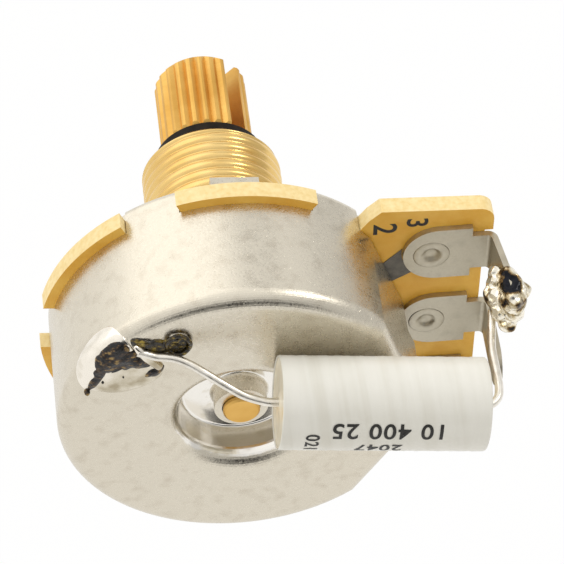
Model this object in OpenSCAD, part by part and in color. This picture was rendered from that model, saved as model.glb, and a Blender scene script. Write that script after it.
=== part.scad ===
// Rotary potentiometer with a solder-lug board and a film capacitor soldered across one lug and the cover.
// The shaft points along +Y and the lug board along +X. The origin is the middle of the mounting face,
// which is the front of the front plate. Every y below is measured from that face, negative to the rear.

/* [Cover] */
// Outer diameter of the drawn rear cover
cover_d = 23.8; // [22:0.1:26]
// Distance from the mounting face to the rear of the cover
cover_back = 10.15; // [9.6:0.05:12]
// Thickness of the cover's sheet
cover_t = 0.5; // [0.4:0.05:0.6]
// Outer radius of the fold round the rear edge
fold_r = 1.1; // [0.8:0.1:1.6]
// Depth of the dish in the rear face
dish_depth = 2.5; // [2:0.1:2.8]
// Radius of the dish wall
dish_r = 4.35; // [3.8:0.05:5]
// Radius of the rounded shoulder where the dish starts
shoulder_r = 1.2; // [0.6:0.1:1.6]
// Height of the collar drawn out round the pivot hole
collar_h = 1.45; // [0.8:0.05:1.6]
// Distance from the shaft line to the two flats beside the board
flat_reach = 11.1; // [10.9:0.05:11.6]
// Width of each rim tab that grips the front plate
tab_w = 3.7; // [3:0.1:4.4]
// How far each tab reaches in over the front plate
tab_fold = 2.2; // [1.2:0.1:2.6]
// Width of the stop tongue bent in from the cover's rim
stop_w = 3; // [2:0.1:3.6]

/* [Front plate and bushing] */
// Thickness of the front plate
plate_t = 0.95; // [0.8:0.05:1.5]
// Turn of the plate, its tabs and the cover's rim against the lug board, in degrees
plate_turn = -5; // [-8:1:8]
// Width of the locating tab
locator_w = 3.2; // [2.4:0.1:4]
// Height of the locating tab over the mounting face
locator_h = 3.2; // [2:0.1:4]
// Distance from the shaft line to the outer side of the locating tab
locator_reach = 8.5; // [8:0.1:9]
// Outer diameter of the bushing's thread
thread_d = 9.525; // [9:0.025:9.7]
// Length of the bushing in front of the mounting face
bushing_l = 11.8; // [9.5:0.1:14]
// Diameter of the rolled flange behind the plate
flange_d = 10.6; // [10.4:0.1:11]
// Thickness of the rolled flange
flange_t = 0.6; // [0.4:0.05:0.8]

/* [Shaft] */
// Diameter of the shaft inside the bushing
shaft_d = 6; // [5.8:0.05:6.2]
// Distance from the mounting face to the tip of the shaft
shaft_reach = 19.8; // [18:0.1:26]
// Bare length of the shaft between the ring and the splines
spline_gap = 0.4; // [0.3:0.05:1.5]
// Diameter over the splines, spread a little by the slot
spline_d = 6.36; // [6.2:0.02:6.6]
// Number of splines
spline_n = 24; // [18:1:30]
// Depth of the grooves between the splines
spline_depth = 0.26; // [0.15:0.01:0.35]
// Width of the slot that splits the splined end
slot_w = 1.3; // [0.8:0.1:1.6]
// Direction of the slot at rest, in degrees from the lug board's direction
slot_angle = 46; // [0:1:180]
// Diameter of the rear pivot
pivot_d = 2.4; // [1.8:0.05:2.5]
// Distance by which the pivot's end stays inside the cover's rear face
pivot_sink = 0.65; // [0.2:0.05:0.9]
// Mechanical turn to each side of the rest position, in degrees
turn = 150; // [120:1:155]
// Outer diameter of the black retaining ring
ring_d = 7.5; // [7:0.1:8]
// Thickness of the retaining ring
ring_t = 1; // [0.6:0.1:1.2]

/* [Lug board] */
// Thickness of the board
board_t = 1.2; // [1:0.05:1.6]
// How far the round part stands proud of the cover
board_proud = 0.68; // [0.3:0.02:1]
// Distance from the shaft line to the end of the board
board_reach = 17; // [16.6:0.1:19]
// Depth of the recess in the end of the board, where the lugs bend round it
board_recess = 0.55; // [0.3:0.05:0.8]
// Width of the board's arm
board_w = 21.3; // [20.8:0.1:23]
// Offset of the lug row from the shaft line
row_shift = -0.6; // [-1:0.1:1]
// Distance between neighbouring lugs
lug_pitch = 6.6; // [6:0.1:7]

/* [Lugs] */
// Thickness of the lugs
lug_t = 0.4; // [0.3:0.05:0.5]
// Width of a lug's riveted pad
pad_w = 4.6; // [4:0.1:5]
// Distance from the board's recess to the rivets
rivet_inset = 3.45; // [3:0.05:3.7]
// Outer diameter of the rivets' barrels
rivet_d = 1.4; // [1:0.1:1.6]
// Width of a lug's neck and leg
leg_w = 3.1; // [2.4:0.1:3.6]
// Length of the straight leg behind the bend
leg_l = 5.2; // [4:0.1:6]
// Diameter of the wire hole in each leg
eye_d = 1.3; // [1:0.1:1.6]
// Outward lean of the first, second and third leg in degrees
leans = [8, 0, -8];

/* [Capacitor] */
// Outer diameter of the wrapped capacitor
cap_d = 5.96; // [5:0.02:6]
// Length of the wrapped capacitor
cap_l = 13.1; // [11:0.1:13.4]
// Thickness of the film wrap
wrap_t = 0.12; // [0.08:0.02:0.2]
// Depth of the resin fill at each end
resin_l = 0.6; // [0.4:0.1:1.2]
// Diameter of the two wire leads
lead_d = 0.56; // [0.5:0.02:0.6]
// Place of the capacitor's left end along the board's direction
cap_x = 1.82; // [1.4:0.02:2.4]
// Height of the capacitor's left end over the shaft line
cap_z = 5.42; // [5:0.02:6]

/* [Hidden] */
$fn = 96;
// Clearance between parts that are fitted and stay put
fit = 0.1;
// Radial clearance of a turning fit
running = 0.05;
// Overlap that makes joined shapes one solid, and the extra depth of a cut
joint = 0.02;
// Free gap round moving parts that never touch
air = 0.3;

cover_r = cover_d / 2;
back = -cover_back;
board_front = -plate_t;
board_rear = board_front - board_t;
lug_rear = board_rear - lug_t;
// Middle and front of the dish's floor
floor_mid = back + dish_depth + cover_t / 2;
inner_floor = floor_mid + cover_t / 2;
pivot_r = pivot_d / 2;
// Middle radius of the collar round the pivot
collar_r = pivot_r + running + cover_t / 2;
tab_step = 60;
tab_angles = [for (i = [1:5]) i * tab_step + plate_turn];
plate_r = cover_r - cover_t - fit;
// Floor of the recesses that the tabs lie in, flush with the mounting face
tab_floor = -joint - 0.9 * cover_t;
// Directions of the two flats beside the board, and where they or the round wall end between them
flat_spread = 25;
flat_normals = [plate_turn + flat_spread, plate_turn - flat_spread];
corner_r = min(cover_r, flat_reach / cos(flat_spread));
// Radius of the bushing in the plate, a step wider than its thread
staked_r = thread_d / 2 + 0.25;
neck_r = shaft_d / 2 - 0.1;
pivot_rear = back + pivot_sink;
ring_rear = bushing_l + running;
ring_front = ring_rear + ring_t;
spline_rear = ring_front + spline_gap;
groove_r = shaft_d / 2 - 0.5;
washer_t = 0.3;
washer_rear = board_front - flange_t - washer_t;
// Shoulder of the shaft behind the washer, and the flatted seat of the wiper carrier behind it
shoulder_radius = shaft_d / 2 + 0.9;
shoulder_front = washer_rear - running;
shoulder_rear = shoulder_front - 1;
seat_r = shaft_d / 2 - 0.4;
seat_flat = 2;
seat_rear = inner_floor + 0.25;
// Printed layers on the rear of the board, with the open part of the track to each side of its middle
track_t = 0.05;
track_in = 8.3;
track_out = 9.9;
track_gap = 180 - turn;
collector_in = 5.9;
collector_out = 7.1;
carrier_r = 9;
carrier_t = 1.2;
carrier_front = board_rear - 2.4;
carrier_hub_r = 4.6;
// Side of the rotor that lies across from the stop tongue when the shaft is at rest
rest = plate_turn + 180;
stop_front = carrier_front - fit;
stop_reach = carrier_r + 2 * air;
stop_half = asin(stop_w / 2 / stop_reach);
stop_lug_half = 180 - turn - stop_half - 1.5;
row = [for (i = [1, 0, -1]) row_shift + i * lug_pitch];
recess_x = board_reach - board_recess;
rivet_x = recess_x - rivet_inset;
rivet_r = rivet_d / 2;
head_r = rivet_r + 0.5;
// Middle of a pad's round inner end
pad_x = rivet_x + 0.45;
bend_r = 0.5;
bend_x = recess_x + fit;
cap_r = cap_d / 2;
cap_start = [cap_x, back - cap_r - 0.07, cap_z];
cap_dip = 5;
cap_yaw = -2.2;
cap_dir = [cos(cap_dip) * cos(cap_yaw), cos(cap_dip) * sin(cap_yaw), -sin(cap_dip)];
cap_end = cap_start + cap_l * cap_dir;
// Distance of the resin from the ends of the wrap
resin_dip = 0.15;
lead_r = lead_d / 2;
// Amount by which a lead's many-sided body stays inside its round hole
lead_slack = 0.005;
// Middle of the solder spot on the rear face
pool = (cover_r - 2.9) * [cos(145), sin(145)];

steel = "#b9b4a6";
brass = "#d2a448";

// Points on an arc round c from angle a0 to a1
function arc(c, r, a0, a1, n = 12) = [for (i = [0:n])
    let (a = a0 + (a1 - a0) * i / n) c + r * [cos(a), sin(a)]];
function unit(v) = v / norm(v);
function left_of(v) = [-v[1], v[0]];
function heading(path, i) = unit(path[min(i + 1, len(path) - 1)] - path[max(i - 1, 0)]);
// Points of a path moved sideways by d
function side(path, d) = [for (i = [0:len(path) - 1]) path[i] + left_of(heading(path, i)) * d];
// Outline of a bent sheet of thickness t whose middle follows a path
function sheet(path, t) = let (right = side(path, -t / 2), last = len(path) - 1)
    concat(side(path, t / 2), [for (i = [last:-1:0]) right[i]]);
// A point on the smooth curve through four neighbouring points
function through(a, b, c, d, s) = 0.5 * (2 * b + (c - a) * s + (2 * a - 5 * b + 4 * c - d) * s * s
    + (3 * b - a - 3 * c + d) * s * s * s);
function curve(p, n) = concat(
    [for (i = [0:len(p) - 2], k = [0:n - 1])
        through(p[max(i - 1, 0)], p[i], p[i + 1], p[min(i + 2, len(p) - 1)], k / n)], [p[len(p) - 1]]);

// Places an outline drawn in x and z with its front at y and its thickness to the rear
module slab(y, t) {
    translate([0, y, 0]) rotate([90, 0, 0]) linear_extrude(t) children();
}
// Turns a profile of radius and y round the shaft line
module turned(points) {
    rotate([-90, 0, 0]) rotate_extrude() polygon(points);
}
// Turns its children round the shaft line, from +X towards +Z
module at_angle(a) {
    rotate([0, -a, 0]) children();
}
// A bar that lies across the radius, from one distance to another, between two y
module radial_bar(from, to, w, front, rear) {
    translate([from, rear, -w / 2]) cube([to - from, front - rear, w]);
}
// A round wire of radius r whose middle follows a smooth curve
module wire(points, r, n = 5, sides = 12) {
    path = curve(points, n);
    last = len(path) - 1;
    rings = [for (i = [0:last])
        let (t = heading(path, i), u = unit(cross(t, [0, 0, 1])), v = cross(t, u))
        [for (k = [0:sides - 1]) path[i] + r * (u * cos(360 * k / sides) + v * sin(360 * k / sides))]];
    walls = [for (i = [0:last - 1], k = [0:sides - 1])
        let (m = (k + 1) % sides)
        [i * sides + k, i * sides + m, (i + 1) * sides + m, (i + 1) * sides + k]];
    caps = [[for (k = [sides - 1:-1:0]) k], [for (k = [0:sides - 1]) last * sides + k]];
    polyhedron([for (ring = rings) each ring], concat(walls, caps), convexity = 6);
}

// A straight round rod of radius r between two points
module rod(from, to, r) {
    d = to - from;
    translate(from) rotate([0, acos(d[2] / norm(d)), atan2(d[1], d[0])]) cylinder(h = norm(d), r = r);
}

// Solid inside a cover of radius r, with flats at the given distance and the rear at y_rear
module cover_blank(r, flat, y_rear, fold) {
    intersection() {
        turned(concat([[0, board_rear], [r, board_rear]],
            arc([r - fold, y_rear + fold], fold, 0, -90), [[0, y_rear]]));
        flat_side(flat_normals[0], flat, y_rear, 0.85 * fold);
        flat_side(flat_normals[1], flat, y_rear, 0.85 * fold);
    }
}
// Everything on the shaft's side of a flat, with a slightly tighter fold at its rear edge
module flat_side(angle, flat, y_rear, fold) {
    far = 20;
    at_angle(angle) translate([0, 0, -far]) linear_extrude(2 * far)
        polygon(concat([[-far, 5], [flat, 5]], arc([flat - fold, y_rear + fold], fold, 0, -90, 9),
            [[-far, y_rear]]));
}
// Middle line of the sheet that forms the dish and the collar round the pivot hole
function dish_path() =
    let (edge = dish_r + shoulder_r, rear = back + cover_t / 2, bend = 0.5)
    concat(arc([edge, rear + shoulder_r], shoulder_r, -90, -170),
        arc([dish_r - 1.5 * bend, floor_mid - bend], bend, 10, 90, 6),
        arc([collar_r + bend, floor_mid - bend], bend, 90, 180, 6),
        [[collar_r, back + dish_depth - collar_h]]);
// Everything behind the dish's sheet, measured d behind its middle line, from the dish's edge in to a radius
module behind_dish(d, inner_r) {
    path = side(dish_path(), d);
    end = path[len(path) - 1];
    turned(concat([[path[0][0], back - 1]], path, [[inner_r, end[1]], [inner_r, back - 1]]));
}

// Tabs folded in over the plate, into its shallow recesses
module rim_tabs() {
    corner = 0.7;
    inside = cover_r - cover_t;
    intersection() {
        turned(concat([[inside, board_rear - joint], [cover_r, board_rear - joint]],
            arc([cover_r - corner, -joint - corner], corner, 0, 90),
            [[inside - tab_fold, -joint], [inside - tab_fold, tab_floor], [inside, tab_floor]]));
        for (a = tab_angles) at_angle(a) radial_bar(6, 14, tab_w, 2, board_rear - 1);
    }
}
// Drawn sheet cup with the dish, the stop tongue bent in from its wall and a rim clear of pads and print
module rear_cover() {
    color(steel) union() {
        difference() {
            cover_blank(cover_r, flat_reach, back, fold_r);
            difference() {
                translate([0, joint, 0]) cover_blank(cover_r - cover_t, flat_reach - cover_t,
                    back + cover_t - joint, fold_r - cover_t);
                behind_dish(-cover_t / 2, collar_r - cover_t / 2);
            }
            behind_dish(cover_t / 2, 0);
            at_angle(plate_turn) radial_bar(stop_reach, 14, stop_w + 4 * air, board_rear + 1, stop_front);
            slab(board_rear + joint, joint + track_t + fit)
                translate([flat_reach - 2.6, row_shift - board_w / 2]) square([6, board_w]);
        }
        rim_tabs();
        at_angle(plate_turn)
            radial_bar(stop_reach, corner_r - 0.8 * cover_t, stop_w, stop_front, stop_front - cover_t);
    }
}

module front_plate() {
    color("#c4c0b4") difference() {
        union() {
            slab(0, plate_t) circle(plate_r);
            at_angle(90 + plate_turn)
                radial_bar(locator_reach - plate_t, locator_reach, locator_w, locator_h, -plate_t);
        }
        slab(1, plate_t + 2) circle(staked_r);
        for (a = tab_angles)
            at_angle(a) radial_bar(cover_r - cover_t - tab_fold - fit, 14, tab_w + 2 * fit, 1, tab_floor);
        at_angle(90 + plate_turn) radial_bar(locator_reach, 14, locator_w + 0.4, 1, -plate_t - 1);
    }
}
// Brass barrel whose rear is rolled into a flange behind the plate
module bushing() {
    r = thread_d / 2;
    bevel = 0.45;
    bore = shaft_d / 2 + running;
    rear = board_front - flange_t;
    color(brass) turned([[bore, rear], [flange_d / 2, rear], [flange_d / 2, board_front],
        [staked_r, board_front], [staked_r, 0], [r, 0], [r, bushing_l - bevel], [r - bevel, bushing_l],
        [bore, bushing_l]]);
}

module lug_board() {
    color("#e0b04c") difference() {
        union() {
            slab(board_front, board_t) circle(cover_r + board_proud);
            slab(board_front, board_t) board_arm();
        }
        slab(1, 5) circle(flange_d / 2 + 0.2);
        for (a = tab_angles) at_angle(a) radial_bar(plate_r, 14, tab_w + 2 * fit, 1, -5);
        for (z = row) translate([rivet_x, 0, z]) slab(1, 5) circle(rivet_r + running);
    }
}
// Arm with slanted inner corners, rounded outer corners and a recessed edge where the lugs bend round it
module board_arm() {
    top = row_shift + board_w / 2;
    bottom = row_shift - board_w / 2;
    corner = 1;
    slant = 1.4;
    taper = 0.35;
    root = 8.25;
    notch_top = row[0] + leg_w / 2 + fit;
    notch_bottom = row[2] - leg_w / 2 - fit;
    difference() {
        polygon(concat([[6, top - slant], [root, top - slant], [root + slant, top]],
            arc([board_reach - corner, top - corner - taper], corner, 80, 0, 5),
            arc([board_reach - corner, bottom + corner], corner, 0, -90, 5),
            [[root + slant, bottom], [root, bottom + slant], [6, bottom + slant]]));
        translate([recess_x, notch_bottom]) square([5, notch_top - notch_bottom]);
    }
}
// Printed layer on the rear of the board
module printed(t = track_t) {
    slab(board_rear, t) children();
}
// Wedge from the shaft line out to a reach, between two angles
module sector_cut(reach, from, to) {
    polygon(concat([[0, 0]], arc([0, 0], reach, from, to, 6)));
}
module resistive_track() {
    color("#2b2724") printed() difference() {
        circle(track_out);
        circle(track_in);
        sector_cut(14, plate_turn - track_gap, plate_turn + track_gap);
    }
}
module collector_ring() {
    color("#8f8d88") printed() difference() {
        union() {
            circle(collector_out);
            translate([collector_in, row[1] - 1]) square([rivet_x - rivet_r - collector_in, 2]);
        }
        circle(collector_in);
        pad_place(1);
    }
}
// Printed strip from one end of the track to the rivet of an outer lug
// Place of a lug's round pad on the board, with a little room round it
module pad_place(i) {
    translate([pad_x, row[i]]) circle(pad_w / 2 + running);
}
module end_conductor(side) {
    i = side > 0 ? 0 : 2;
    z = row[i];
    a = plate_turn + side * (track_gap - 0.5);
    b = a - side * 12;
    near = track_in + 0.2;
    far = pad_x - pad_w / 4;
    half = 0.36 * pad_w;
    color("#6f6a66") printed() difference() {
        polygon([near * [cos(a), sin(a)], near * [cos(b), sin(b)], [far, z - side * half],
            [far, z + side * half], track_out * [cos(a), sin(a)]]);
        pad_place(i);
    }
}
module end_conductor_1() {
    end_conductor(1);
}
module end_conductor_3() {
    end_conductor(-1);
}

// Where the bend of a lug ends, in x and y, and the middle of its wire hole
function bend_end(i) = [bend_x, board_rear - lug_t / 2 - bend_r] + bend_r * [cos(leans[i]), sin(leans[i])];
function eye(i) =
    let (e = bend_end(i), l = leg_l - leg_w / 2)
    [e[0] + l * sin(leans[i]), e[1] - l * cos(leans[i]), row[i]];

// A solder lug: riveted pad, neck, bend and leg with its wire hole
module lug(i) {
    mid = board_rear - lug_t / 2;
    pad_end = recess_x - 0.85;
    centre = [bend_x, mid - bend_r];
    color("#a5a29a") translate([0, 0, row[i]]) {
        difference() {
            union() {
                slab(board_rear, lug_t) translate([pad_x, 0]) circle(pad_w / 2);
                slab(board_rear, lug_t) translate([pad_x, -pad_w / 2]) square([pad_end - pad_x, pad_w]);
                slab(board_rear, lug_t)
                    translate([pad_end - fit, -leg_w / 2]) square([bend_x - pad_end + fit, leg_w]);
                translate([0, 0, -leg_w / 2]) linear_extrude(leg_w)
                    polygon(sheet(concat([[bend_x - fit, mid]], arc(centre, bend_r, 90, leans[i], 8)), lug_t));
            }
            translate([rivet_x, 0, 0]) slab(1, 5) circle(rivet_r + running);
        }
        translate(concat(bend_end(i), [0])) rotate([0, 0, leans[i]]) leg();
    }
}
// Straight leg with a round end, drawn from the bend to the rear
module leg() {
    eye_back = leg_w / 2 - leg_l;
    translate([-lug_t / 2, joint, 0]) rotate([90, 0, 90]) linear_extrude(lug_t) difference() {
        union() {
            translate([eye_back, -leg_w / 2]) square([-eye_back, leg_w]);
            translate([eye_back, 0]) circle(leg_w / 2);
        }
        translate([eye_back, 0]) circle(eye_d / 2);
    }
}
module terminal_1() {
    lug(0);
}
module terminal_2() {
    lug(1);
}
module terminal_3() {
    lug(2);
}
// Hollow rivet with a rolled flange on the pad and on the front of the board
module rivet(i) {
    bore = rivet_r - 0.25;
    lip = 0.12;
    color("#9b9890") translate([rivet_x, 0, row[i]]) turned([[bore, lug_rear - lip],
        [head_r - fit, lug_rear - lip], [head_r, lug_rear], [rivet_r, lug_rear], [rivet_r, board_front],
        [head_r, board_front], [head_r - fit, board_front + lip], [bore, board_front + lip]]);
}
module rivet_1() {
    rivet(0);
}
module rivet_2() {
    rivet(1);
}
module rivet_3() {
    rivet(2);
}

// Turned brass shaft: pivot, flatted seat, shoulder, ring groove and the split, splined end
module shaft() {
    bevel = 0.3;
    tip_bevel = 0.12;
    color(brass) difference() {
        union() {
            turned([[0, pivot_rear], [pivot_r - tip_bevel, pivot_rear], [pivot_r, pivot_rear + tip_bevel],
                [pivot_r, seat_rear], [0, seat_rear]]);
            shaft_seat(0);
            turned([[0, shoulder_rear], [shoulder_radius, shoulder_rear], [shoulder_radius, shoulder_front],
                [shaft_d / 2, shoulder_front], [shaft_d / 2, ring_rear], [groove_r, ring_rear],
                [groove_r, ring_front], [neck_r, ring_front], [neck_r, spline_rear + joint],
                [0, spline_rear + joint]]);
            intersection() {
                slab(shaft_reach, shaft_reach - spline_rear) spline_outline();
                turned([[0, spline_rear], [neck_r, spline_rear], [spline_d / 2, spline_rear + bevel],
                    [spline_d / 2, shaft_reach - bevel], [neck_r, shaft_reach], [0, shaft_reach]]);
            }
        }
        at_angle(slot_angle) radial_bar(-5, 5, slot_w, shaft_reach + 1, spline_rear - 0.3);
    }
}
// Flatted seat that carries the wiper carrier, larger all round by the given gap
module shaft_seat(gap) {
    intersection() {
        turned([[0, seat_rear - joint], [seat_r + gap, seat_rear - joint],
            [seat_r + gap, shoulder_rear + joint], [0, shoulder_rear + joint]]);
        at_angle(slot_angle + 90) translate([-5, -20, -5]) cube([5 + seat_flat + gap, 40, 10]);
    }
}
module spline_outline() {
    step = 360 / spline_n;
    polygon([for (i = [0:spline_n - 1], k = [0:5])
        let (a = slot_angle + (i + k / 6) * step, dip = spline_depth * pow(sin(30 * k), 4))
        (spline_d / 2 - dip) * [cos(a), sin(a)]]);
}
// Open ring with rounded edges in the groove in front of the bushing
module retaining_ring() {
    edge = 0.15;
    inside = groove_r + running;
    outside = ring_d / 2;
    rear = ring_rear + joint;
    front = ring_front - joint;
    color("#26211d") difference() {
        turned([[inside, rear], [outside - edge, rear], [outside, rear + edge], [outside, front - edge],
            [outside - edge, front], [inside, front]]);
        at_angle(-90) radial_bar(0, 6, groove_r + running, ring_front + 1, ring_rear - 1);
    }
}
module thrust_washer() {
    color("#8d8a84") slab(washer_rear + washer_t, washer_t) difference() {
        circle(flange_d / 2 - 0.2);
        circle(shaft_d / 2 + 2 * running);
    }
}

// Moulded carrier that the shaft turns, with the lug that meets the stop tongue
module wiper_carrier() {
    rear = inner_floor + air;
    hub_rear_r = dish_r - 1.45;
    color("#d8d2c0") difference() {
        union() {
            turned([[0, rear], [hub_rear_r, rear], [hub_rear_r, carrier_front - carrier_t],
                [carrier_r, carrier_front - carrier_t], [carrier_r, carrier_front],
                [carrier_hub_r, carrier_front], [carrier_hub_r, shoulder_rear - running],
                [0, shoulder_rear - running]]);
            slab(carrier_front, carrier_t) intersection() {
                difference() {
                    circle(flat_reach - cover_t - air);
                    circle(carrier_r - 1);
                }
                sector_cut(14, rest - stop_lug_half, rest + stop_lug_half);
            }
        }
        shaft_seat(running);
    }
}

// Sprung contact that joins the track to the collector ring
module wiper_spring() {
    t = 0.25;
    half = 22;
    color("#c9a15a") union() {
        slab(carrier_front + t, t) intersection() {
            difference() {
                circle(carrier_r - air);
                circle(carrier_hub_r + fit);
            }
            sector_cut(14, rest - half, rest + half);
        }
        for (r = [(track_in + track_out) / 2 - 0.6, (collector_in + collector_out) / 2])
            at_angle(rest) finger(r, t, board_rear - track_t - running);
    }
}
// Bent finger of the wiper at one radius, which rises from the carrier to the board
module finger(r, t, tip) {
    low = carrier_front + t / 2;
    high = tip - t / 2;
    path = [[-2.6, low], [-1.2, low], [0.6, high], [1, high], [1.5, high - 0.4]];
    translate([r - 0.5, 0, 0]) rotate([90, 0, 90]) linear_extrude(1)
        polygon([for (p = sheet(path, t)) [p[1], p[0]]]);
}

// Places a shape whose axis is local Z along the capacitor, starting at its left end
module along_capacitor(start = 0) {
    translate(cap_start) rotate([0, 0, cap_yaw]) rotate([0, 90 + cap_dip, 0])
        translate([0, 0, start]) children();
}
module capacitor_winding() {
    inset = resin_l + resin_dip;
    color("#cfcabc") along_capacitor(inset) cylinder(h = cap_l - 2 * inset, r = cap_r - wrap_t);
}
module capacitor_wrap() {
    color("#ece9df") along_capacitor() difference() {
        cylinder(h = cap_l, r = cap_r);
        translate([0, 0, -1]) cylinder(h = cap_l + 2, r = cap_r - wrap_t);
    }
}
// Resin fill, which leaves a shallow dip inside the wrap's edge and a hole for the lead
module resin_end(start) {
    color("#e3d9bf") along_capacitor(start) difference() {
        cylinder(h = resin_l, r = cap_r - wrap_t);
        translate([0, 0, -1]) cylinder(h = resin_l + 2, r = lead_r);
    }
}
module resin_end_left() {
    resin_end(resin_dip);
}
module resin_end_right() {
    resin_end(cap_l - resin_l - resin_dip);
}

// A point at the given offset from the solder spot's middle, at a height over the rear face
function over_pool(x, h, z) = [pool[0] + x, back - h, pool[1] + z];
// Middle lines of the two leads, bent by hand when the capacitor was soldered in
cover_lead = [cap_start + resin_dip * cap_dir, cap_start - 0.7 * cap_dir + [0, 0.05, 0],
    cap_start + [-2, 0.4, 0.4], cap_start + [-3.2, 0.9, 1], cap_start + [-4.4, 1.5, 1.6],
    over_pool(3.9, 1.05, 2.2), over_pool(2.9, 0.7, 2.5), over_pool(1.8, 0.5, 2.55), over_pool(0.7, 0.45, 3.05)];
terminal_lead = [cap_end - resin_dip * cap_dir, cap_end + 0.45 * cap_dir, cap_end + [0.95, 0.45, 0],
    cap_end + [1.15, 1.3, 0], cap_end + [1.25, 2.7, -0.1], eye(0) + [-1.9, -2.9, -1.8],
    eye(0) + [-1.6, -1.3, -1.7], eye(0) + [-1.3, -0.1, -1.3]];
module lead_to_cover() {
    color("#c9c6bd") wire(cover_lead, lead_r - lead_slack);
}
module lead_to_terminal() {
    color("#c9c6bd") wire(terminal_lead, lead_r - lead_slack);
}

// Straight rods along a lead from its given point to its end, which leave room for the lead
module lead_rods(points, first) {
    for (i = [first:len(points) - 2])
        rod(points[i], points[i + 1] + 0.1 * (points[i + 1] - points[i]), lead_r + joint);
}
// A low round bead of radius r and height h on the rear face, at an offset from the solder spot's middle
module bead(x, z, r, h) {
    ball = (r * r + h * h) / (2 * h);
    translate(over_pool(x, h - ball, z)) sphere(ball);
}
// Keeps what lies on the rear face or just over its fold
module on_rear_face(over) {
    difference() {
        intersection() {
            union() children();
            slab(back + 0.9 * fold_r, 3) circle(cover_r + over);
        }
        cover_blank(cover_r, flat_reach, back, fold_r);
        lead_rods(cover_lead, 5);
    }
}
module solder_beads() {
    bead(-1.3, 0, 1.25, 0.4);
    bead(-0.1, 0.1, 1.5, 0.45);
    bead(1.2, 0.4, 1.2, 0.35);
    bead(-1.7, 1.4, 1.6, 0.5);
    bead(-0.6, 2.2, 1.5, 0.45);
}
module solder_on_cover() {
    color("#bdb8ab") on_rear_face(0.25) solder_beads();
}
module flux_residue() {
    color("#2e2114") difference() {
        on_rear_face(0.2) {
            bead(0.8, 3.2, 1, 0.35);
            bead(1.9, 3, 1.1, 0.35);
            bead(3.2, 3.2, 0.95, 0.4);
        }
        solder_beads();
    }
}
// Lump of solder round the lead's end and over the lower edge of the first lug, drawn out to a spike
module solder_on_terminal() {
    $fn = 12;
    spots = [[-1.2, 0, -1.4, 0.95], [-1, 0.8, -0.6, 0.75], [-1.2, 0, -1.4, 0.95], [-1, -0.9, -1.9, 0.6],
        [-0.4, -0.5, -1.4, 0.9], [0.5, 0, -0.2, 0.12]];
    color("#a8a6a2") difference() {
        for (i = [0:2:4]) hull() for (s = [spots[i], spots[i + 1]])
            translate(eye(0) + [s[0], s[1], s[2]]) sphere(s[3]);
        translate(eye(0)) rotate([0, 0, leans[0]]) cube([lug_t + joint, leg_l, leg_w], center = true);
        rod(terminal_lead[6], terminal_lead[7], lead_r + joint);
    }
}

rear_cover();
front_plate();
bushing();
lug_board();
resistive_track();
collector_ring();
end_conductor_1();
end_conductor_3();
terminal_1();
terminal_2();
terminal_3();
rivet_1();
rivet_2();
rivet_3();
shaft();
retaining_ring();
thrust_washer();
wiper_carrier();
wiper_spring();
capacitor_winding();
capacitor_wrap();
resin_end_left();
resin_end_right();
lead_to_cover();
lead_to_terminal();
solder_on_cover();
flux_residue();
solder_on_terminal();
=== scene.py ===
import bmesh
import bpy
import numpy as np
from mathutils import Matrix, Vector


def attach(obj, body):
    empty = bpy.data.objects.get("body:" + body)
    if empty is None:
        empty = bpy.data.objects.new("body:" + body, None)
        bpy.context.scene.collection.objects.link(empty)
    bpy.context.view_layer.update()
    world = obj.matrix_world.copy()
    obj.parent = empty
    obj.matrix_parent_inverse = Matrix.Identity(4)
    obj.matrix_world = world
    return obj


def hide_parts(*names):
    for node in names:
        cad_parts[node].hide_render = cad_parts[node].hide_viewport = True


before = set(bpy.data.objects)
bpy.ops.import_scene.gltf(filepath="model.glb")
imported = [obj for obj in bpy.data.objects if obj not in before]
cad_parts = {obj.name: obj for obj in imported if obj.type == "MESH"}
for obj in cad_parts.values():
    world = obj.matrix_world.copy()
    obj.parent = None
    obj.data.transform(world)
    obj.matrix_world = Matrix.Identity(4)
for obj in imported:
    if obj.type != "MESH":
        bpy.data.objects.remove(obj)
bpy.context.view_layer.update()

# Camera, above and behind the part and slightly to its left, where the photograph was taken.
# A long lens from 0.21 m off gives the photograph's flat perspective.
ahead = Vector((0.0839, 0.6432, -0.7610)).normalized()
right = Vector((0.9938, -0.1103, 0.0163)).normalized()
up = right.cross(ahead)
camera = bpy.data.objects.new("camera", bpy.data.cameras.new("camera"))
camera.matrix_world = Matrix.Translation(Vector((-0.014001, -0.135196, 0.161347))) @ (
    Matrix((right, up, -ahead)).transposed().to_4x4()
)
camera.data.lens = 203.03
camera.data.sensor_width = 36
camera.data.clip_start = 0.01
bpy.context.scene.collection.objects.link(camera)
bpy.context.scene.camera = camera
bpy.context.scene.view_settings.view_transform = "Standard"


# Studio: a white table 60 mm below the mounting face's middle, in a pale room that is brighter on the left
# and nearly black low behind the part, which gives bright metal something dark to show. Two soft lamps.
def linear(code):
    """Linear colour of an sRGB hex code: ((v + 0.055) / 1.055) to the power 2.4, or v / 12.92 near black."""
    v = np.array([int(code[i : i + 2], 16) for i in (1, 3, 5)]) / 255
    return (*np.where(v > 0.04045, ((v + 0.055) / 1.055) ** 2.4, v / 12.92), 1.0)


def node(tree, kind, sockets=None, **settings):
    """Adds a node, sets its settings, and fills its sockets with values or with links from other nodes."""
    made = tree.nodes.new("ShaderNode" + kind)
    for key, value in settings.items():
        setattr(made, key, value)
    for key, value in (sockets or {}).items():
        if isinstance(value, bpy.types.NodeSocket):
            tree.links.new(value, made.inputs[key])
        else:
            made.inputs[key].default_value = value
    return made


def math(tree, operation, a, b):
    """One sum on two numbers or sockets."""
    return node(tree, "Math", {0: a, 1: b}, operation=operation).outputs[0]


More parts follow.
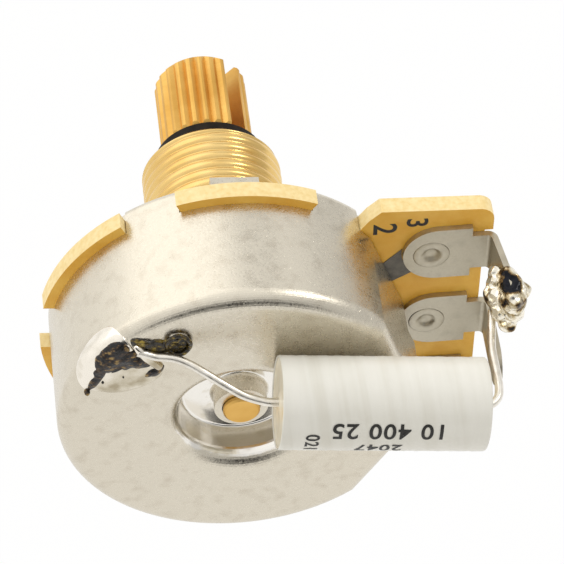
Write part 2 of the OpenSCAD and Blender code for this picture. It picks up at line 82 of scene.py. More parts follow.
table = bpy.data.materials.new("white_table")
table.use_nodes = True
tree = table.node_tree
tree.nodes.clear()
ray = node(tree, "LightPath").outputs
seen = math(tree, "MAXIMUM", ray["Is Camera Ray"], ray["Is Glossy Ray"])
seen = math(tree, "MAXIMUM", seen, ray["Is Transmission Ray"])
paper = node(tree, "BsdfDiffuse", {"Color": linear("#f2f0ec")})
glow = node(tree, "Emission", {"Color": (1, 1, 1, 1), "Strength": 1.0})
share = math(tree, "MULTIPLY", seen, 0.95)
mixed = node(tree, "MixShader", {0: share, 1: paper.outputs[0], 2: glow.outputs[0]})
node(tree, "OutputMaterial", {"Surface": mixed.outputs[0]})
floor_mesh = bpy.data.meshes.new("table")
reach, floor_z = 2.0, -0.06
corners = [(x * reach, y * reach, floor_z) for x, y in ((-1, -1), (1, -1), (1, 1), (-1, 1))]
floor_mesh.from_pydata(corners, [], [(0, 1, 2, 3)])
floor_mesh.materials.append(table)
floor = bpy.data.objects.new("table", floor_mesh)
bpy.context.scene.collection.objects.link(floor)

world = bpy.data.worlds.new("pale_room")
world.use_nodes = True
tree = world.node_tree
tree.nodes.clear()
way = node(tree, "TexCoord").outputs["Generated"]


def towards(direction, start, end, low, high):
    """A level that goes from low to high as the way looked at turns towards a direction."""
    turn = node(tree, "VectorMath", {0: way, 1: Vector(direction).normalized()}, operation="DOT_PRODUCT")
    places = {0: turn.outputs["Value"], 1: start, 2: end, 3: low, 4: high}
    return node(tree, "MapRange", places, interpolation_type="SMOOTHSTEP").outputs[0]


# Brighter towards the upper left, nearly black low behind the part, a little greyer in two patches in front.
room = towards((-0.55, 0.5, 0.6), -0.6, 0.9, 0.64, 1.1)
for direction, start, end, grey in (
    ((0, -1, 0.06), 0.78, 0.93, 0.04),
    ((0.22, 0.64, 0.73), 0.96, 0.992, 0.7),
    ((0.72, 0.62, 0.3), 0.93, 0.98, 0.8),
):
    room = math(tree, "MULTIPLY", room, towards(direction, start, end, 1.0, grey))
ray = node(tree, "LightPath").outputs
seen = math(tree, "MAXIMUM", ray["Is Camera Ray"], ray["Is Transmission Ray"])
level = math(tree, "MAXIMUM", room, seen)
sky = node(tree, "Background", {"Color": (1, 1, 1, 1), "Strength": level})
node(tree, "OutputWorld", {"Surface": sky.outputs[0]})
bpy.context.scene.world = world


def lamp(name, place, side, watts):
    """A soft square lamp, its side in metres, that looks at the part from a place."""
    data = bpy.data.lights.new(name, "AREA")
    data.shape = "SQUARE"
    data.size, data.energy = side, watts
    data.color = (1.0, 0.98, 0.95)
    made = bpy.data.objects.new(name, data)
    made.location = place
    made.rotation_euler = (-Vector(place)).to_track_quat("-Z", "Y").to_euler()
    made.visible_camera = False
    bpy.context.scene.collection.objects.link(made)


lamp("lamp_left", (-0.34, 0.28, 0.46), 0.7, 0.66)
lamp("lamp_right", (0.36, 0.03, 0.42), 0.13, 0.5)


# Rear cover: a cup drawn from thin steel sheet and nickel plated, with a dish round the shaft's pivot.
# The plating is satin, faintly blotchy, and finely scratched from handling.
def finish(name, **values):
    """A new material whose shader has these plain values, with its tree, its shader and its coordinates."""
    made = bpy.data.materials.new(name)
    made.use_nodes = True
    t = made.node_tree
    t.nodes.clear()
    shader = node(t, "BsdfPrincipled", {k.replace("_", " "): v for k, v in values.items()})
    node(t, "OutputMaterial", {"Surface": shader.outputs[0]})
    return made, t, shader, node(t, "TexCoord").outputs["Object"]


def noise(t, at, mm, detail=3.0, stretch=None):
    """Noise whose blotches are about so many millimetres across, stretched along an axis if asked."""
    if stretch:
        at = node(t, "Mapping", {"Vector": at, "Scale": stretch}).outputs[0]
    return node(t, "TexNoise", {"Vector": at, "Scale": 1000 / mm, "Detail": detail}).outputs["Fac"]


def blend(t, fac, stops):
    """Colours or greys at given places of a value; each stop is a place and a hex colour."""
    ramp = node(t, "ValToRGB", {"Fac": fac})
    ramp.color_ramp.elements.remove(ramp.color_ramp.elements[1])
    for i, (place, code) in enumerate(stops):
        e = ramp.color_ramp.elements[0] if i == 0 else ramp.color_ramp.elements.new(place)
        e.position, e.color = place, linear(code)
    return ramp.outputs["Color"]


def between(t, fac, low, high, start=0.3, end=0.7):
    """A number that goes from low to high as a value goes from start to end."""
    return node(t, "MapRange", {0: fac, 1: start, 2: end, 3: low, 4: high}).outputs[0]


def wear(t, shader, colour, rough, height, depth_mm):
    """Links a colour, a roughness if there is one, and a relief of so many millimetres to the shader."""
    t.links.new(colour, shader.inputs["Base Color"])
    if rough is not None:
        t.links.new(rough, shader.inputs["Roughness"])
    bump = node(t, "Bump", {"Height": height, "Distance": depth_mm / 1000, "Strength": 1.0})
    t.links.new(bump.outputs[0], shader.inputs["Normal"])


def shaft_distance(t, at):
    """Distance of the surface from the shaft line in millimetres: the length of (x, z)."""
    across = node(t, "VectorMath", {0: at, 1: (1000, 0, 1000)}, operation="MULTIPLY").outputs["Vector"]
    return node(t, "VectorMath", {0: across}, operation="LENGTH").outputs["Value"]


def plated(name, pale, dark, low=0.24, high=0.40, relief=0.006, drawn_r=0.0):
    """Plated metal sheet: faint blotches 1 mm wide, grain 0.15 mm wide, and thin curled marks where a coarser
    noise passes through its middle value. Within drawn_r millimetres of the shaft line, but not on the collar
    at its middle, the punch has drawn the sheet and left it smoother, whiter and brighter."""
    made, t, shader, at = finish(name, Metallic=1.0)
    far = shaft_distance(t, at)
    outside = between(t, far, 0.0, 1.0, drawn_r - 0.5, drawn_r + 0.3)
    plain = math(t, "MAXIMUM", outside, between(t, far, 1.0, 0.0, 1.7, 2.0))
    blotch = noise(t, at, 0.9, 8)
    grain = noise(t, at, 0.14, 3)
    curl = math(t, "ABSOLUTE", math(t, "SUBTRACT", noise(t, at, 0.5, 1), 0.5), 0)
    patch = between(t, noise(t, at, 0.5, 2), 0, 1, 0.52, 0.58)
    mark = math(t, "MULTIPLY", between(t, curl, 1.0, 0.0, 0.0, 0.03), patch)
    mark = math(t, "MULTIPLY", mark, plain)
    shade = math(t, "SUBTRACT", blotch, math(t, "MULTIPLY", mark, 0.34))
    shade = math(t, "ADD", shade, between(t, plain, 0.6, 0.0))
    colour = blend(t, shade, ((0.1, dark), (0.5, pale), (0.8, pale), (1.0, "#f2eee6")))
    rough = math(t, "ADD", between(t, grain, low, high), between(t, blotch, -0.02, 0.03))
    rough = math(t, "MULTIPLY", rough, between(t, plain, 0.5, 1.0))
    height = math(t, "SUBTRACT", grain, math(t, "MULTIPLY", mark, 2.0))
    wear(t, shader, colour, rough, math(t, "MULTIPLY", height, between(t, plain, 0.3, 1.0)), relief)
    return made


def dress(material, *names):
    """Gives the named frame nodes a material."""
    for name in names:
        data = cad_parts[name].data
        data.materials.clear()
        data.materials.append(material)


dress(plated("nickel_plated_steel", "#dcd4c3", "#c6bcaa", 0.22, 0.38, 0.009, 4.6), "rear_cover")

# Front plate and thrust washer: stamped from the same plated sheet, a little cleaner.
# The plate carries the bushing and is gripped by the cover's rim tabs.
dress(plated("plated_stamping", "#dcd4c3", "#c6bca8", 0.25, 0.4, 0.004), "front_plate", "thrust_washer")


# Bushing: turned from brass bar and threaded 32 turns to the inch, then rolled into the front plate.
# The thread is cut, so its flanks are bright; the metal keeps fine lathe marks.
def surface(name, *grids):
    """One mesh from grids of points in millimetres, closed along their second direction: each cell is a
    quad, points that coincide are merged, and faces are turned outwards."""
    points, faces, base = [], [], 0
    for grid in grids:
        rows, columns = grid.shape[:2]
        i, j = np.meshgrid(np.arange(rows - 1), np.arange(columns), indexing="ij")
        k = (j + 1) % columns
        here, below = i * columns, (i + 1) * columns
        faces.append(base + np.stack([here + j, below + j, below + k, here + k], -1).reshape(-1, 4))
        points.append(grid.reshape(-1, 3) / 1000)
        base += rows * columns
    mesh = bpy.data.meshes.new(name)
    mesh.from_pydata(np.concatenate(points), [], np.concatenate(faces).tolist())
    b = bmesh.new()
    b.from_mesh(mesh)
    bmesh.ops.remove_doubles(b, verts=b.verts, dist=1e-7)
    bmesh.ops.recalc_face_normals(b, faces=b.faces)
    b.to_mesh(mesh)
    b.free()
    mesh.shade_smooth()
    made = bpy.data.objects.new(name, mesh)
    bpy.context.scene.collection.objects.link(made)
    return made


def settle(piece, material, slot, body, *nodes):
    """Gives a finished piece its material and says what it rides on and stands for."""
    piece.data.materials.append(material)
    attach(piece, body)
    if nodes:
        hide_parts(*nodes)


def machined(name, pale, dark, low, high):
    """Turned metal: rings 0.12 mm apart along the shaft line, broken up by noise, and slight tarnish."""
    made, t, shader, at = finish(name, Metallic=1.0)
    tarnish = noise(t, at, 3, 4)
    ring = noise(t, at, 0.6, 2, (0.05, 5, 0.05))
    colour = blend(t, tarnish, ((0.3, dark), (0.65, pale)))
    wear(t, shader, colour, between(t, ring, low, high), ring, 0.001)
    return made


# The thread's radius at a place y along it and an angle round it is the groove's, plus the groove's depth
# times 1 - |2 turn - 1|^2.4, where turn is the part of a turn passed there. It fades in over the first
# 0.5 mm, and the last 0.75 mm is chamfered.
major, minor, pitch, length, bore_r = 4.7625, 4.54, 25.4 / 32, 11.8, 3.05
y = np.linspace(0, length - 0.25, 210)[:, None]
angle = np.linspace(0, 2 * np.pi, 144, endpoint=False)[None, :]
turn = (y / pitch + angle / (2 * np.pi)) % 1
ridge = 1 - np.abs(2 * turn - 1) ** 2.4
radius = minor + (major - minor) * ridge * np.clip(y / 0.5, 0, 1)
radius = np.minimum(radius, major - 0.9 * np.clip(y - (length - 0.75), 0, 1))
thread = np.stack([radius * np.cos(angle), y + 0 * angle, radius * np.sin(angle)], -1)


def turned(profile, columns=144):
    """Rings about the shaft line: each row of the profile is a radius and a place along the line."""
    p = np.asarray(profile, float)
    a = np.linspace(0, 2 * np.pi, columns, endpoint=False)[None, :]
    return np.stack([p[:, :1] * np.cos(a), p[:, 1:] + 0 * a, p[:, :1] * np.sin(a)], -1)


flange_y, flange_r, seat_r = -1.55, 5.3, major + 0.25
rear_rings = turned(
    [[bore_r, flange_y], [flange_r - 0.1, flange_y], [flange_r, flange_y + 0.1], [flange_r, -0.95]]
    + [[seat_r, -0.95], [seat_r, 0]]
)
front_rings = turned(
    [[3.75, length - 0.02], [3.6, length], [bore_r + 0.1, length], [bore_r, length - 0.1], [bore_r, flange_y]]
)
bushing = surface("threaded_bushing", np.concatenate([rear_rings, thread, front_rings]))
brass = machined("turned_brass", "#efcd87", "#dfb465", 0.18, 0.3)
settle(bushing, brass, "brass", "housing", "bushing")


# Shaft: turned from deeper coloured brass, splined by rolling, split by a saw cut, with a pivot at the rear.
# The spring steel ring, blackened and nearly matt, snaps into its groove and keeps it from being pushed in.
dress(machined("splined_shaft_brass", "#e7ba68", "#d4a24e", 0.34, 0.46), "shaft")
made, t, shader, at = finish("black_oxide_spring_steel", Specular_IOR_Level=0.1, Roughness=0.42)
colour = blend(t, noise(t, at, 0.8), ((0.3, "#14100c"), (0.7, "#2a2119")))
wear(t, shader, colour, None, noise(t, at, 0.2), 0.01)
dress(made, "retaining_ring")

# Lug board: punched from amber phenolic paper laminate. Its faces are smooth and saturated, and the
# punched edges are pale and rough, because they show the torn paper.
made, t, shader, at = finish("phenolic_paper_laminate", Roughness=0.5)
split = node(t, "SeparateXYZ", {0: node(t, "TexCoord").outputs["Normal"]})
flat = math(t, "ABSOLUTE", split.outputs[1], 0)
edge = blend(t, noise(t, at, 0.35, 5), ((0.3, "#eed08a"), (0.7, "#fbe4aa")))
face = blend(t, noise(t, at, 1.6, 4), ((0.3, "#f0b23a"), (0.7, "#fcc858")))
colour = node(t, "Mix", {0: between(t, flat, 0.0, 1.0, 0.55, 0.75), 6: edge, 7: face}, data_type="RGBA")
wear(t, shader, colour.outputs[2], None, noise(t, at, 0.25, 4), 0.02)
dress(made, "lug_board")

# Printed layers: carbon for the track, silver ink for the collector and the strips under the outer lugs.
# Both are screened on and baked, so they are matt and slightly uneven.
made, t, shader, at = finish("carbon_ink", Roughness=0.6)
colour = blend(t, noise(t, at, 0.3), ((0.3, "#1d1a18"), (0.7, "#2e2a27")))
wear(t, shader, colour, None, noise(t, at, 0.1), 0.004)
dress(made, "resistive_track")
made, t, shader, at = finish("silver_ink", Metallic=0.3, Roughness=0.5)
colour = blend(t, noise(t, at, 0.4), ((0.3, "#5d5a55"), (0.7, "#7a766e")))
wear(t, shader, colour, None, noise(t, at, 0.1), 0.004)
dress(made, "collector_ring", "end_conductor_1", "end_conductor_3")

# Lugs and rivets: stamped brass strip, tinned by dipping, each held to the board by a hollow rivet.
# The tin has gone dull and keeps a soft, cloudy sheen.
tinned = plated("dull_tin", "#bfb7a4", "#aba391", 0.34, 0.5, 0.006)
dress(tinned, "terminal_1", "terminal_2", "terminal_3")
rivet_x, head_r, shank_r = 13.0, 1.2, 0.7
rear_head = [[0, -2.34], [0.30, -2.35], [0.44, -2.41], [0.54, -2.50], [0.64, -2.57], [0.80, -2.60]]
shank = [[1.0, -2.59], [1.14, -2.57], [head_r, -2.552], [shank_r, -2.55], [shank_r, -0.95], [head_r, -0.95]]
front_head = [[1.14, -0.88], [0.8, -0.84], [0.6, -0.9], [0.5, -1.2], [0, -1.22]]
# One for each lug, 6.6 mm apart.
for number, z in ((1, 6.0), (2, -0.6), (3, -7.2)):
    rings = turned(rear_head + shank + front_head, 48) + np.array([rivet_x, 0, z])
    rivet = surface("rivet_head_%d" % number, rings)
    settle(rivet, tinned, "tinned_lug", "housing", "rivet_%d" % number)

# Wiper: a moulded carrier on the shaft and a sprung contact. They are closed in by the cover.
made, t, shader, at = finish("moulded_acetal", Roughness=0.45)
colour = blend(t, noise(t, at, 1.5), ((0.3, "#d9d2c0"), (0.7, "#e3ddcc")))
wear(t, shader, colour, None, noise(t, at, 0.3), 0.01)
dress(made, "wiper_carrier")
dress(machined("spring_brass", "#d9b060", "#c0923f", 0.25, 0.4), "wiper_spring")


# Capacitor: a roll of metallised film in a wrap of milky polyester film, filled with resin at both ends.
# The wrap is wound round and cut, so it shows faint bands and a pale, thin rim.
def lathe_on(start, axis, front, profile, columns=96):
    """Rings about an axis: each row of the profile is a radius and a distance from the start."""
    p = np.asarray(profile, float)
    side = np.cross(axis, front)
    a = np.linspace(0, 2 * np.pi, columns, endpoint=False)[None, :, None]
    ring = np.cos(a) * front + np.sin(a) * side
    return start + p[:, None, 1:] * axis + p[:, None, :1] * ring


dip, yaw = np.radians(5), np.radians(-2.2)
cap_axis = np.array([np.cos(dip) * np.cos(yaw), np.cos(dip) * np.sin(yaw), -np.sin(dip)])
cap_r, cap_l, wrap_t = 2.98, 13.1, 0.12
# It lies 0.07 mm off the cover's rear face.
rear_y, gap = -10.15, 0.07
cap_start = np.array([1.82, rear_y - cap_r - gap, 5.42])
cap_end = cap_start + cap_l * cap_axis
# Its front line faces the place the photograph was taken from, so that bearings round it start there.
cap_front = -np.array(ahead) - cap_axis * np.dot(-np.array(ahead), cap_axis)
cap_front /= np.linalg.norm(cap_front)
cap_up = np.cross(cap_axis, cap_front)
cap_up *= np.sign(np.dot(cap_up, np.array(up)))
along = np.linspace(0.12, cap_l - 0.12, 160)
bands = 0.006 * np.sin(along * 5.1) + 0.005 * np.sin(along * 8.7 + 1) + 0.004 * np.sin(along * 14.3 + 2)
inner = cap_r - wrap_t
profile = [[inner, 0.9], [inner, 0.06], [inner + 0.03, 0], [cap_r - 0.06, 0], [cap_r - 0.03, 0.04]]
profile += list(np.stack([cap_r - 0.012 + bands, along], -1))
profile += [[cap_r - 0.03, cap_l - 0.04], [cap_r - 0.06, cap_l], [inner + 0.03, cap_l]]
profile += [[inner, cap_l - 0.06], [inner, cap_l - 0.9]]
wrap = surface("film_wrap", lathe_on(cap_start, cap_axis, cap_front, profile + profile[:1]))
# The film's turns show as bands along the axis, 0.9 mm wide, in a milky white with a soft gloss.
made, t, shader, at = finish("milky_polyester_film", Roughness=0.36, Coat_Weight=0.15, Coat_Roughness=0.2)
lined = node(t, "Mapping", {"Vector": at, "Rotation": (0, -dip, -yaw)}, vector_type="TEXTURE").outputs[0]
stripe = noise(t, lined, 0.9, 3, (1, 0.02, 0.02))
cloud = noise(t, at, 2.5, 3)
shade = math(t, "ADD", between(t, stripe, 0, 0.7), between(t, cloud, 0, 0.3))
colour = blend(t, shade, ((0.1, "#dedacd"), (0.5, "#e6e3d8"), (0.9, "#ebe8de")))
wear(t, shader, colour, None, stripe, 0.01)
settle(wrap, made, "film", "housing", "capacitor_wrap")

# The resin creeps up the wrap and the lead as it sets, so its face is a shallow bowl, cream and glossy.
resin, t, shader, at = finish("cast_resin", Roughness=0.25)
colour = blend(t, noise(t, at, 0.9), ((0.3, "#efe3c6"), (0.7, "#f8f0dc")))
wear(t, shader, colour, None, noise(t, at, 0.5), 0.02)
hole_r, fill_r, fill_t = 0.27, inner - 0.01, 0.74
r = np.linspace(hole_r, fill_r, 24)
meniscus = 0.16 - 0.10 * np.exp(-(((inner - r) / 0.25) ** 2)) - 0.12 * np.exp(-(((r - hole_r) / 0.5) ** 2))
for name, end, sign in (("left", 0.0, 1), ("right", cap_l, -1)):
    face = np.stack([r, end + sign * meniscus], -1)
    back = [[fill_r, end + sign * fill_t], [hole_r, end + sign * fill_t]]
    ring = lathe_on(cap_start, cap_axis, cap_front, list(face) + back + [list(face[0])])
    settle(surface("resin_fill_" + name, ring), resin, "resin", "housing", "resin_end_" + name)
dress(made, "capacitor_winding")


# Figures on the capacitor and the board: plain numbers stamped in black ink, which dries matt and a little
# uneven. Most of the capacitor's run along its wrap and stand on their heads.
def figures(name, text, height, lay, material, slot):
    """Outlines of figures so many millimetres high, cut into strips 0.1 mm high so that they can bend, and
    laid on a surface by a function of their place across and up."""
    font = bpy.data.curves.new(name, "FONT")
    font.body = text
    # The figures are 0.7 of the font's size high.
    font.size = height / 0.7
    font.space_character = 1.1
    font.offset = 0.016 * font.size
    model = bpy.data.objects.new(name, font)
    mesh = bpy.data.meshes.new_from_object(model)
    bpy.data.objects.remove(model)
    b = bmesh.new()
    b.from_mesh(mesh)
    for up_to in np.arange(0, height, 0.1):
        parts = list(b.verts) + list(b.edges) + list(b.faces)
        bmesh.ops.bisect_plane(b, geom=parts, plane_co=(0, up_to, 0), plane_no=(0, 1, 0), dist=1e-5)
    bmesh.ops.triangulate(b, faces=b.faces)
    b.to_mesh(mesh)
    b.free()
    flat = np.empty(len(mesh.vertices) * 3)
    mesh.vertices.foreach_get("co", flat)
    flat = flat.reshape(-1, 3)
    mesh.vertices.foreach_set("co", (lay(flat[:, 0], flat[:, 1]) / 1000).ravel())
    mesh.update()
    made = bpy.data.objects.new(name, mesh)
    bpy.context.scene.collection.objects.link(made)
    settle(made, material, slot, "housing")


# The ink's face is 0.012 mm over the wrap and 0.007 mm over the board.
ink_r, ink_y = cap_r + 0.012, -2.15 - 0.007


def on_wrap(place, bearing):
    """Points on the ink's face at places along the wrap and bearings round it."""
    out = np.cos(bearing)[:, None] * cap_front + np.sin(bearing)[:, None] * cap_up
    return cap_start + place[:, None] * cap_axis + ink_r * out


def along_wrap(start, bearing):
    """Lays figures along the wrap, on their heads, from a place along it and a bearing in degrees."""
    return lambda x, h: on_wrap(start - x, np.radians(bearing) - h / cap_r)


def round_wrap(start, bearing):
    """Lays figures round the wrap, reading down it, from a place along it and a bearing in degrees."""
    return lambda x, h: on_wrap(start + h, np.radians(bearing) - x / cap_r)


def on_board(x0, z0):
    """Lays figures on the board's rear face, with their feet towards the cover."""
    return lambda x, h: np.stack([x0 + h, 0 * x + ink_y, z0 - x], -1)


ink, t, shader, at = finish("black_marking_ink", Roughness=0.5)
colour = blend(t, noise(t, at, 0.2), ((0.3, "#15130f"), (0.7, "#2b2822")))
wear(t, shader, colour, None, noise(t, at, 0.1), 0.002)
figures("figures_upper", "10 400 25", 1.15, along_wrap(10.4, -24), ink, "film")
figures("figures_lower", "2047", 0.97, along_wrap(7.7, -58), ink, "film")
figures("figures_end", "021", 0.85, round_wrap(1.55, -39), ink, "film")
figures("figure_on_board_1", "2", 1.5, on_board(9.2, 8.95), ink, "laminate")
figures("figure_on_board_2", "3", 1.35, on_board(11.35, 9.3), ink, "laminate")


# Leads: tinned copper wire, bent by hand and soldered, bright with a soft, slightly uneven sheen.
# The route's points are those of the frame's wires.
def curve(points, steps=12):
    """Smooth curve through points: half of 2b + (c-a)s + (2a-5b+4c-d)s^2 + (3b-a-3c+d)s^3 between b and c."""
    p = np.asarray(points, float)
    p = np.concatenate([p[:1], p, p[-1:]])
    s = (np.arange(steps) / steps)[None, :, None]
    a, b, c, d = (p[i : len(p) - 3 + i, None] for i in range(4))
    body = 0.5 * (2 * b + (c - a) * s + (2 * a - 5 * b + 4 * c - d) * s**2 + (3 * b - a - 3 * c + d) * s**3)
    return np.concatenate([body.reshape(-1, 3), p[-1:]])


def tube(points, radius, columns=24):
    """A round tube along a path: a ring square to the path at every point, closed at both ends."""
    path = np.asarray(points, float)
    heading = np.gradient(path, axis=0)
    heading /= np.linalg.norm(heading, axis=1)[:, None]
    a_side = np.cross(heading, [0, 0, 1.0])
    a_side /= np.linalg.norm(a_side, axis=1)[:, None]
    b_side = np.cross(heading, a_side)
    a = np.linspace(0, 2 * np.pi, columns, endpoint=False)[None, :, None]
    size = np.broadcast_to(np.asarray(radius, float), len(path))[:, None, None]
    rings = path[:, None] + size * (np.cos(a) * a_side[:, None] + np.sin(a) * b_side[:, None])
    ends = [np.repeat(path[i][None, None], columns, 1) for i in (0, -1)]
    return np.concatenate([ends[0], rings, ends[1]])


# The solder spot's middle, 9 mm from the shaft line, and the middle of the first lug's eye.
pool = 9.0 * np.array([np.cos(np.radians(145)), np.sin(np.radians(145))])
eye = np.array([17.5531, -6.3949, 6.0])


def over_pool(x, h, z):
    """A point at an offset from the solder spot's middle, at a height over the rear face."""
    return np.array([pool[0] + x, rear_y - h, pool[1] + z])


cover_lead = [cap_start + 0.15 * cap_axis, cap_start - 0.7 * cap_axis + [0, 0.05, 0]]
cover_lead += [cap_start + [-2, 0.4, 0.4], cap_start + [-3.2, 0.9, 1], cap_start + [-4.4, 1.5, 1.6]]
cover_lead += [over_pool(3.9, 1.05, 2.2), over_pool(2.9, 0.7, 2.5), over_pool(1.8, 0.5, 2.55)]
cover_lead += [over_pool(0.7, 0.45, 3.05)]
terminal_lead = [cap_end - 0.15 * cap_axis, cap_end + 0.45 * cap_axis, cap_end + [0.95, 0.45, 0]]
terminal_lead += [cap_end + [1.15, 1.3, 0], cap_end + [1.2, 2.7, -0.1], eye + [-1.5, -2.8, -1.8]]
terminal_lead += [eye + [-1.3, -1.3, -1.7], eye + [-1.1, -0.1, -1.3]]
wire_r = 0.275
wire, t, shader, at = finish("tinned_copper_wire", Metallic=1.0)
colour = blend(t, noise(t, at, 0.7), ((0.3, "#e0d9cb"), (0.7, "#f7f2e8")))
wear(t, shader, colour, between(t, noise(t, at, 0.5), 0.26, 0.42), noise(t, at, 0.3), 0.004)
for name, route in (("lead_to_cover", cover_lead), ("lead_to_terminal", terminal_lead)):
    piece = surface("wire_" + name, tube(curve(route), wire_r))
    settle(piece, wire, "tinned_wire", "housing", name)


# Solder and burnt flux on the cover: a pool of solder wetted out over the fold, with flux boiled up and
# charred along its upper side. They lie on the plating and follow it round the fold.
flat_to, fold_radius = 10.8, 1.1


def on_cover(x, z, lift):
    """The cover's rear face lifted by so much: flat to 10.8 mm from the shaft line, then round the fold,
    where the distance past 10.8 mm runs along the arc of 1.1 mm radius, and then up the wall."""
    r = np.hypot(x, z)
    past = np.maximum(r - flat_to, 0) / fold_radius
    bent = np.minimum(past, np.pi / 2)
    out = np.minimum(r, flat_to) + (fold_radius + lift) * np.sin(bent)
    y = rear_y + fold_radius - (fold_radius + lift) * np.cos(bent) + fold_radius * (past - bent)
    return np.stack([out * x / r, y, out * z / r], -1)


def lumps(x, z, size, seed):
    """Smooth bumps between -1 and 1: five sine waves in turned directions, size apart."""
    total = 0
    for k in range(5):
        a = 2.4 * k + seed
        wave = (x * np.cos(a) + z * np.sin(a)) * 2 * np.pi / size / (1 + 0.23 * k)
        total = total + np.sin(wave + 1.7 * seed + k * k)
    return total / 5


def blob(outline, height, rough=0.0, size=0.8, seed=0.0, shape=0.5, columns=96, rows=22):
    """A drop on the cover inside a closed outline: rings shrink towards its middle, and the height is the
    given one times (1 - u^2) to a power, with lumps, where u goes from 0 at the middle to 1."""
    o = np.asarray(outline, float)
    middle = o.mean(0)
    d = o - middle
    bearing = np.arctan2(d[:, 1], d[:, 0])
    order = np.argsort(bearing)
    a = np.linspace(-np.pi, np.pi, columns, endpoint=False)
    reach = np.interp(a, bearing[order], np.hypot(*d[order].T), period=2 * np.pi)
    reach = (np.roll(reach, 1) + 2 * reach + np.roll(reach, -1)) / 4
    u = np.sin(np.linspace(0, np.pi / 2, rows))[:, None]
    x = middle[0] + u * reach * np.cos(a)
    z = middle[1] + u * reach * np.sin(a)
    rise = height * (1 - u**2) ** shape * (1 + rough * lumps(x, z, size, seed))
    top = on_cover(x, z, np.maximum(rise, 0) - 0.02)
    under = on_cover(x[::-1], z[::-1], 0 * x - 0.06)
    return np.concatenate([top, under])


# Solder is smooth and mirror bright. Its colour grades by distance from the shaft line: tan on the thin flat
# part of the pool, in part flux stain and in part painted shade, and pale from 9.6 to 10.8 mm out, over the
# fold, a painted highlight.
solder, t, shader, at = finish("tin_lead_solder", Metallic=1.0)
# Flux stain and painted shade on the flat part, and a painted highlight towards and over the fold.
stain_and_highlight = math(t, "ADD", noise(t, at, 1.2, 4), between(t, shaft_distance(t, at), -0.3, 0.15, 9.6, flat_to))
colour = blend(t, stain_and_highlight, ((0.05, "#ab9f86"), (0.25, "#cfc6b2"), (0.65, "#f4ede0")))
wear(t, shader, colour, between(t, noise(t, at, 0.5, 3), 0.08, 0.24), noise(t, at, 0.5, 4), 0.02)
pool_line = [(-10.1, 4.4), (-10.75, 5.6), (-10.8, 7.0), (-10.2, 8.4), (-8.9, 9.4), (-7.6, 9.0), (-6.8, 7.6)]
pool_line += [(-5.7, 6.8), (-5.1, 6.1), (-5.2, 5.2), (-6.0, 4.5), (-7.0, 4.05), (-8.2, 3.85), (-9.1, 4.1)]
spread = surface("solder_pool", blob(pool_line, 0.28, 0.3, 2.2, 1.0, 0.4))
settle(spread, solder, "solder", "housing", "solder_on_cover")
# The ridge that the lead's end is frozen into: a tube through places across, up and over the face.
ridge = np.array([[-5.3, -5.7, -6.1, -6.5, -6.8], [6.7, 7.2, 7.7, 8.2, 8.6], [0.5, 0.45, 0.42, 0.38, 0.3]])
ridge_line = curve(on_cover(*ridge), 6)
taper = np.interp(np.linspace(0, 1, len(ridge_line)), [0, 0.2, 0.5, 0.8, 1], [0.27, 0.33, 0.36, 0.27, 0.12])
settle(surface("solder_ridge", tube(ridge_line, taper, 20)), solder, "solder", "housing")


def burnt(name, deep, brown, pale, low, high, coat):
    """Flux boiled and charred in the soldering: near black with brown and amber streaks 0.3 mm wide that run
    with the drag of the iron, wrinkled, and glossy where it was last wet."""
    made, t, shader, at = finish(name, Coat_Weight=coat, Coat_Roughness=0.12, Specular_IOR_Level=0.35)
    shade = noise(t, at, 0.3, 8, (0.7, 1, 1.4))
    colour = blend(t, shade, ((0.46, deep), (0.56, brown), (0.68, pale)))
    wear(t, shader, colour, between(t, shade, low, high), noise(t, at, 0.3, 6), 0.14)
    return made


char = burnt("charred_rosin_flux", "#0b0705", "#3d2912", "#a3864e", 0.2, 0.5, 0.25)
left = [(-9.95, 4.3), (-9.75, 5.2), (-9.4, 6.4), (-9.0, 7.6), (-8.4, 8.5), (-7.6, 8.8), (-7.0, 8.2)]
left += [(-7.3, 7.3), (-8.0, 6.8), (-8.7, 6.0), (-9.2, 5.0), (-9.5, 4.3)]
middle = [(-8.2, 8.0), (-7.2, 8.1), (-6.5, 7.6), (-5.9, 7.0), (-5.4, 6.65), (-5.9, 6.25), (-6.8, 6.3)]
middle += [(-7.8, 6.3), (-8.5, 6.1), (-8.8, 5.8), (-8.6, 7.0)]
smear = [(-6.4, 5.3), (-6.2, 5.85), (-5.6, 6.15), (-5.0, 6.2), (-5.2, 5.65), (-5.9, 5.3)]
drops = [blob(left, 0.42, 0.3, 1.0, 2.0), blob(middle, 0.4, 0.35, 0.8, 3.0), blob(smear, 0.36, 0.1, 0.8, 5.0)]
spot = np.linspace(0, 2 * np.pi, 10, endpoint=False)
for x, z, r in ((-9.9, 4.15, 0.2), (-8.9, 5.2, 0.13), (-7.6, 5.6, 0.1)):
    spatter = np.stack([x + r * np.cos(spot), z + r * np.sin(spot)], -1)
    drops.append(blob(spatter, 0.36, 0.0, columns=20, rows=6))
settle(surface("charred_flux", *drops), char, "burnt_flux", "housing", "flux_residue")
olive = burnt("olive_rosin_flux", "#1c1507", "#54430f", "#a08a3c", 0.15, 0.35, 0.4)
upper = [(-7.1, 8.9), (-6.4, 9.0), (-5.8, 8.7), (-5.0, 8.6), (-4.4, 8.9), (-3.5, 8.6), (-3.3, 7.8)]
upper += [(-3.8, 7.1), (-4.6, 7.15), (-5.4, 7.35), (-6.1, 7.9), (-6.9, 8.1)]
# A bead of flux has boiled into a ring.
a = np.linspace(0, 2 * np.pi, 60)
bead = on_cover(-4.1 + 0.74 * np.cos(a), 8.35 + 0.85 * np.sin(a), 0.26 + 0.05 * np.sin(3 * a))
film = surface("olive_flux", blob(upper, 0.3, 0.4, 0.8, 4.0), tube(bead, 0.15, 12))
settle(film, olive, "burnt_flux", "housing")
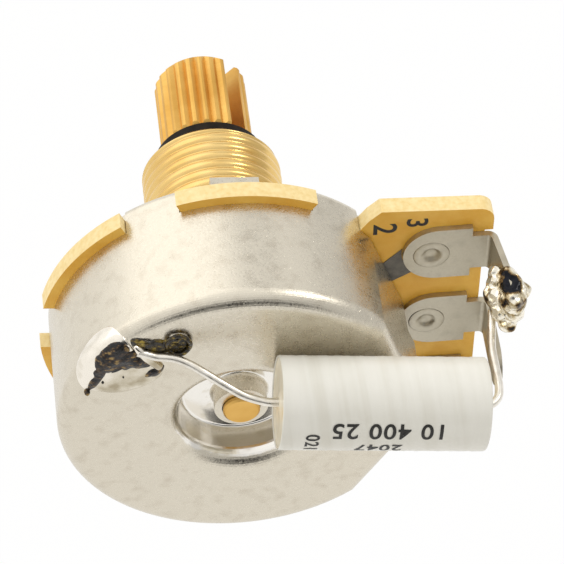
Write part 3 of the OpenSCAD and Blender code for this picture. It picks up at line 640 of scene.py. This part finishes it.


# Solder on the first lug: a lump drawn up round the lead's end and the lug's eye, with a spike where the
# iron left it. It is bright and chipped all over, and darker, to blue-black, round a hollow on its upper
# side.
def clump(centre, balls, rough, seed, rows=90, columns=120):
    """A star-shaped lump: in each direction d its reach is the furthest point of any ball of middle c and
    radius r, d.c + root of (d.c)^2 - (c.c - r^2). The log of a sum of powers melts the balls together."""
    polar = np.linspace(0, np.pi, rows)[:, None]
    a = np.linspace(0, 2 * np.pi, columns, endpoint=False)[None, :]
    d = np.stack([np.sin(polar) * np.cos(a), np.sin(polar) * np.sin(a), np.cos(polar) + 0 * a], -1)
    reach = []
    for *c, r in balls:
        c = np.array(c)
        b = d @ c
        inside = b * b - (c @ c - r * r)
        reach.append(np.where(inside > 0, b + np.sqrt(np.maximum(inside, 0)), 0.05))
    reach = np.array(reach)
    sharp = 9.0
    size = np.log(np.exp(sharp * reach).sum(0)) / sharp
    p = d * size[..., None]
    bumps = lumps(p[..., 0] + 0.7 * p[..., 1], p[..., 2] - 0.6 * p[..., 1], 0.9, seed)
    size = size * (1 + rough * bumps)
    return centre + d * size[..., None]


# Each ball is a place from the eye, across, along the shaft line and up, and a radius. The last four are the
# spike.
middle_of_lump = np.array([-0.3, 0.0, -0.2])
balls = [(-0.85, 1.15, 0.9, 0.5), (-0.75, 0.8, 0.5, 0.72), (-0.9, 0.1, -0.1, 0.8), (-0.5, -0.6, -0.7, 0.85)]
balls += [(-0.3, -1.3, -1.2, 0.6), (-0.2, 0.5, 1.2, 0.62), (0.0, -0.3, 1.05, 0.72), (0.1, -0.95, 0.8, 0.66)]
balls += [(-0.05, 0.1, 0.9, 0.8), (0.0, -0.7, 0.3, 0.9), (0.1, -1.0, -0.6, 0.72), (0.2, 0.0, 0.2, 0.85)]
balls += [(0.5, 0.0, 0.2, 0.66), (0.75, 0.05, 0.25, 0.42), (0.92, 0.1, 0.25, 0.26), (1.06, 0.15, 0.25, 0.12)]
balls = [(*(np.array(place) - middle_of_lump), ball_r) for *place, ball_r in balls]
drop = clump(eye + middle_of_lump, balls, 0.09, 1.3)
# The iron left a hollow in its upper side: each point there sinks by a bell curve of its distance.
hollow = np.array([17.3, -6.75, 7.7])
apart = np.linalg.norm(drop - hollow, axis=-1, keepdims=True)
drop = drop + (eye - drop) * 0.12 * np.exp(-((apart / 0.5) ** 2))
lump = surface("terminal_solder", drop)
# Chipped facets 0.5 mm wide, cream where the solder is clean and brown to blue-black where a noise marks it
# burnt; the colour is also darker within 0.4 to 1 mm of the hollow's middle.
made, t, shader, at = finish("frozen_solder_and_flux", Metallic=0.9, Coat_Weight=0.2)
chip = node(t, "TexVoronoi", {"Vector": at, "Scale": 1000 / 0.5}).outputs["Distance"]
near = node(t, "VectorMath", {0: at, 1: hollow / 1000}, operation="DISTANCE").outputs["Value"]
tone = math(t, "SUBTRACT", noise(t, at, 0.8, 4), between(t, near, 0.26, -0.06, 0.0004, 0.001))
colour = blend(t, tone, ((0.36, "#14151c"), (0.45, "#7a6038"), (0.51, "#d6c7a4"), (0.6, "#faf3e2")))
wear(t, shader, colour, between(t, tone, 0.35, 0.1), chip, 0.2)
settle(lump, made, "solder", "housing", "solder_on_terminal")
